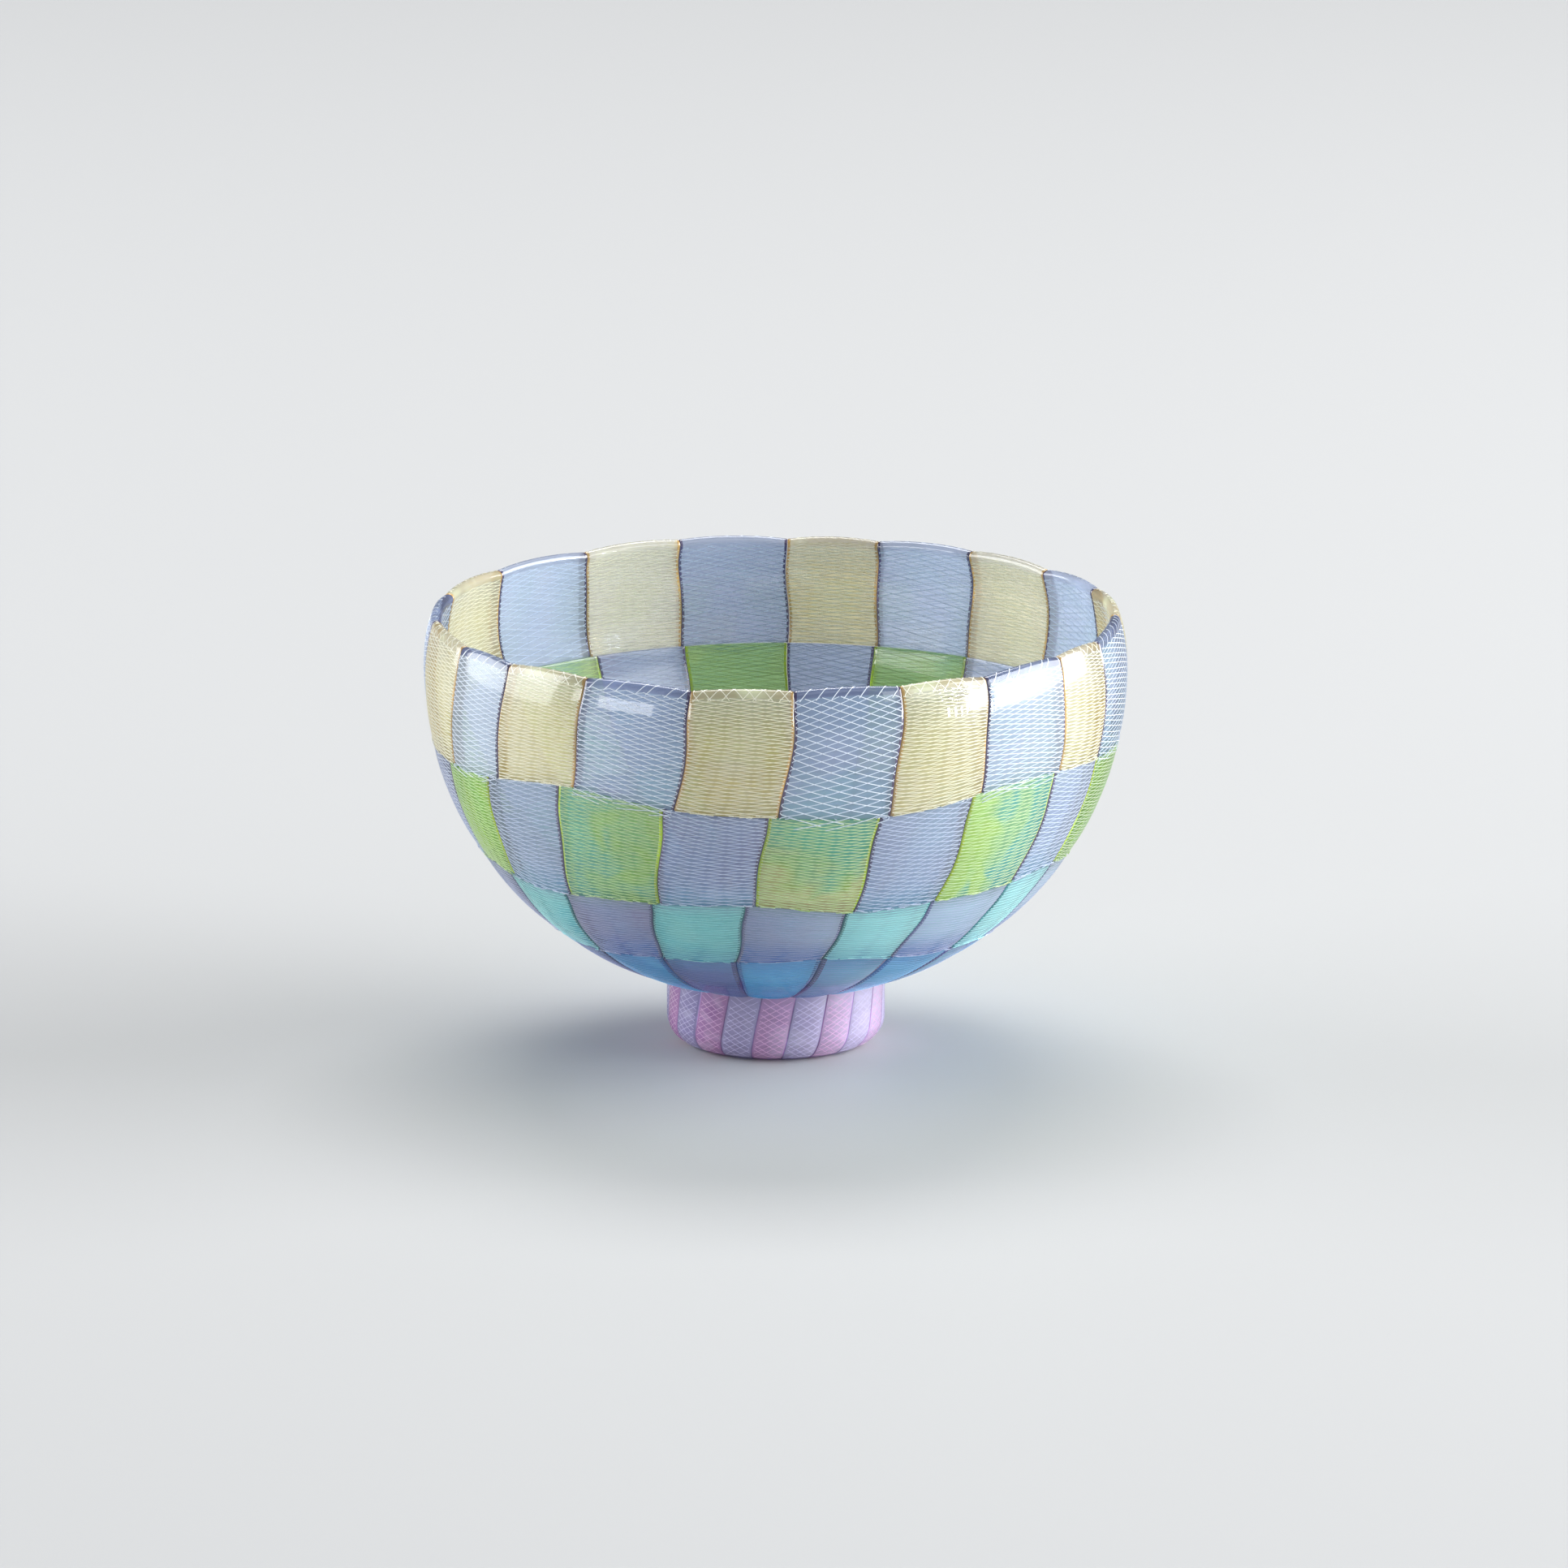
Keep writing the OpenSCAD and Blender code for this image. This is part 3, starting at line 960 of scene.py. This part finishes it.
def add_stave(parts, stave):
    """One closed stave: its section, swept across it."""
    section = foot_section()
    u = np.array(STAVE_U)
    U, R = np.meshgrid(u, section[:, 0], indexing="ij")
    Z, B = np.broadcast_to(section[:, 1], U.shape), np.broadcast_to(section[:, 2], U.shape)
    verts = to_xyz(stave_az(stave, Z, U), R + stave_swell(U) * B, Z)
    n = len(section)
    number = np.arange(U.size).reshape(U.shape)
    following = np.roll(number, -1, 1)
    quads = np.stack([number[1:], following[1:], following[:-1], number[:-1]], -1).reshape(-1, 4)
    at_edge = np.isin(np.arange(len(u) - 1), [0, len(u) - 2])
    kind = np.repeat(np.where(at_edge, EDGE, BODY), n)
    width = math.radians(360 / STAVES) * FOOT_R
    lace = np.stack([U * width, STAVE_TOP - Z], -1)
    faces = [quads, number[:1], number[-1:, ::-1]]
    mats = [kind, np.full(1, EDGE), np.full(1, EDGE)]
    parts.add(verts.reshape(-1, 3), faces, mats, lace.reshape(-1, 2))


def stave_threads(parts, stave, falling):
    """Fine threads that slant across a stave's outside."""
    foot_h = wall_under_z(FOOT_R)
    rng = np.random.default_rng(500 + 2 * stave + falling)
    width = math.radians(360 / STAVES) * FOOT_R
    slope = math.tan(math.radians(STAVE_THREAD_SLOPE))
    middle = np.linspace(1.0, foot_h - 1.2, STAVE_THREADS)
    middle += rng.normal(0, 0.12, STAVE_THREADS)
    u = np.array(STAVE_U[2:-2])
    z = middle[:, None] + (slope if falling else -slope) * width * (u - 0.5)[None, :]
    z = np.clip(z, 0.9, foot_h - 0.1)
    U = np.broadcast_to(u, z.shape)
    round_z = np.clip(FOOT_EDGE_R - z, 0, FOOT_EDGE_R)
    r = FOOT_R - FOOT_EDGE_R + np.sqrt(FOOT_EDGE_R**2 - round_z**2)
    r = r + stave_swell(U) + 0.02
    az = stave_az(stave, z, U)
    tip = np.degrees(np.arcsin(round_z / FOOT_EDGE_R))
    away = to_xyz(az, cos_d(tip), 0) + np.stack([0 * z, 0 * z, -sin_d(tip)], -1)
    add_threads(parts, to_xyz(az, r, z), away, STAVE_THREAD_HALF_W, 0)


FOOT_LOOKS = {
    "pink": {
        "tints": [(220, 162, 216), (204, 146, 206), (230, 190, 230)],
        "edge": (206, 156, 212), "clear_tint": (250, 236, 250), "thread": (230, 180, 222),
    },
    "lilac": {
        "tints": [(196, 186, 228), (180, 168, 218), (212, 204, 238)],
        "edge": (186, 172, 222), "clear_tint": (240, 238, 252), "thread": (210, 200, 236),
    },
}
# Painted light on the foot: its staves turn paler towards the right, as if lit from that side
FOOT_PAINTED_LIGHT = ((244, 232, 254), 0.85)


def make_foot():
    """The foot ring's staves, pink and lilac by turns, with their threads."""
    for first, (kind, own) in enumerate(FOOT_LOOKS.items()):
        name, slot = f"foot_{kind}", f"{kind}_glass"
        staves, lace = Parts(), Parts()
        for stave in range(first, STAVES, 2):
            add_stave(staves, stave)
            stave_threads(lace, stave, True)
            stave_threads(lace, stave, False)
        # The foot's glass turns paler to the right: painted light
        body = glass(
            name + "_glass", own["tints"], clear=0.15, clear_tint=own["clear_tint"], swirl=120,
            paler=FOOT_PAINTED_LIGHT,
        )
        materials = [body, glass(name + "_edge", shades(own["edge"]), clear=0.2)]
        hand_in(staves.mesh(name + "_glass_staves", materials), slot, name + "_staves")
        hand_in(lace.mesh(name + "_threads", [enamel(name + "_thread", own["thread"])]), slot)


# ---------------------------------------------------------------- stage, lights and camera
VIEW_DISTANCE = 2500
VIEW_ELEVATION = 13.8
VIEW_TARGET = (1.4, 0, 44.8)
VIEW_ANGLE = 6.14
LIGHT_TARGET = (0, 0, 45)


def direction(az, elevation):
    """Direction towards an azimuth and an angle above level, as a vector."""
    across = cos_d(elevation)
    return np.array([sin_d(az) * across, -cos_d(az) * across, sin_d(elevation)])


def aim(ob, place, target):
    """Put a lamp or a camera at a place, turned towards a target, and into the scene."""
    ob.location = [c * MM for c in place]
    towards = np.array(target, float) - np.array(place, float)
    ob.rotation_euler = Vector(towards).to_track_quat("-Z", "Y").to_euler()
    bpy.context.scene.collection.objects.link(ob)


def add_camera():
    """The camera, a little above the bowl in front of it."""
    data = bpy.data.cameras.new("camera")
    data.angle = math.radians(VIEW_ANGLE)
    data.clip_end = 30
    camera = bpy.data.objects.new("camera", data)
    place = np.array(VIEW_TARGET) + VIEW_DISTANCE * direction(0, VIEW_ELEVATION)
    aim(camera, place, VIEW_TARGET)
    bpy.context.scene.camera = camera


def add_light(name, az, elevation, distance, size, power, tint=(1, 1, 1)):
    """A soft lamp, as wide and as high as its size in mm."""
    data = bpy.data.lights.new(name, "AREA")
    data.shape = "RECTANGLE"
    data.size, data.size_y = [side * MM for side in size]
    data.energy = power
    data.color = tint
    place = np.array(LIGHT_TARGET) + distance * direction(az, elevation)
    aim(bpy.data.objects.new(name, data), place, LIGHT_TARGET)


# The window's panes: how far apart they stand, and the direction of their middle
PANES = 4
PANE_STEP = 3.1
WINDOW_AZ = 61


def add_window():
    """Tall bright panes low on the right, which the tiles mirror as a small window."""
    for i in range(PANES):
        az = WINDOW_AZ + (i - (PANES - 1) / 2) * PANE_STEP
        add_light(f"window_{i}", az, 2, 1500, (24, 180), 0.8, (0.96, 0.98, 1.0))


def add_stage():
    """A plain pale floor."""
    data = bpy.data.meshes.new("floor")
    side = 6.0
    corners = [(-side, -side, 0), (side, -side, 0), (side, side, 0), (-side, side, 0)]
    data.from_pydata(corners, [], [(0, 1, 2, 3)])
    n = Nodes("floor_paint")
    skin = n.add("BsdfPrincipled", None, Base_Color=(0.5, 0.5, 0.5, 1), Roughness=0.6).outputs[0]
    data.materials.append(n.finish(skin))
    floor = bpy.data.objects.new("floor", data)
    bpy.context.scene.collection.objects.link(floor)


def add_world():
    """Dim, slightly blue light from all round."""
    world = bpy.data.worlds.new("studio")
    world.use_nodes = True
    background = world.node_tree.nodes["Background"]
    background.inputs["Color"].default_value = (0.86, 0.9, 0.96, 1)
    background.inputs["Strength"].default_value = 0.22
    bpy.context.scene.world = world


add_camera()
for row, *kinds in ROWS:
    for first, kind in enumerate(kinds):
        make_row(row, kind, first)
add_base_disc()
make_foot()
add_stage()
add_world()
add_window()
add_light("key", 95, 14, 1600, (1600, 1500), 60, (0.97, 0.99, 1.0))
add_light("left", -100, 16, 1600, (1500, 1200), 29, (0.95, 0.98, 1.0))
add_light("left_front", -50, 9, 1600, (700, 260), 3.5)
add_light("right_front", 78, 6, 1600, (700, 340), 7, (0.97, 0.99, 1.0))
add_light("high_right", 52, 22, 1600, (700, 450), 3, (0.94, 0.98, 1.0))
add_light("front", 20, 50, 2000, (1200, 900), 2.5)
add_light("back", 180, 55, 1900, (1200, 800), 22)
bpy.context.scene.view_settings.view_transform = "Standard"
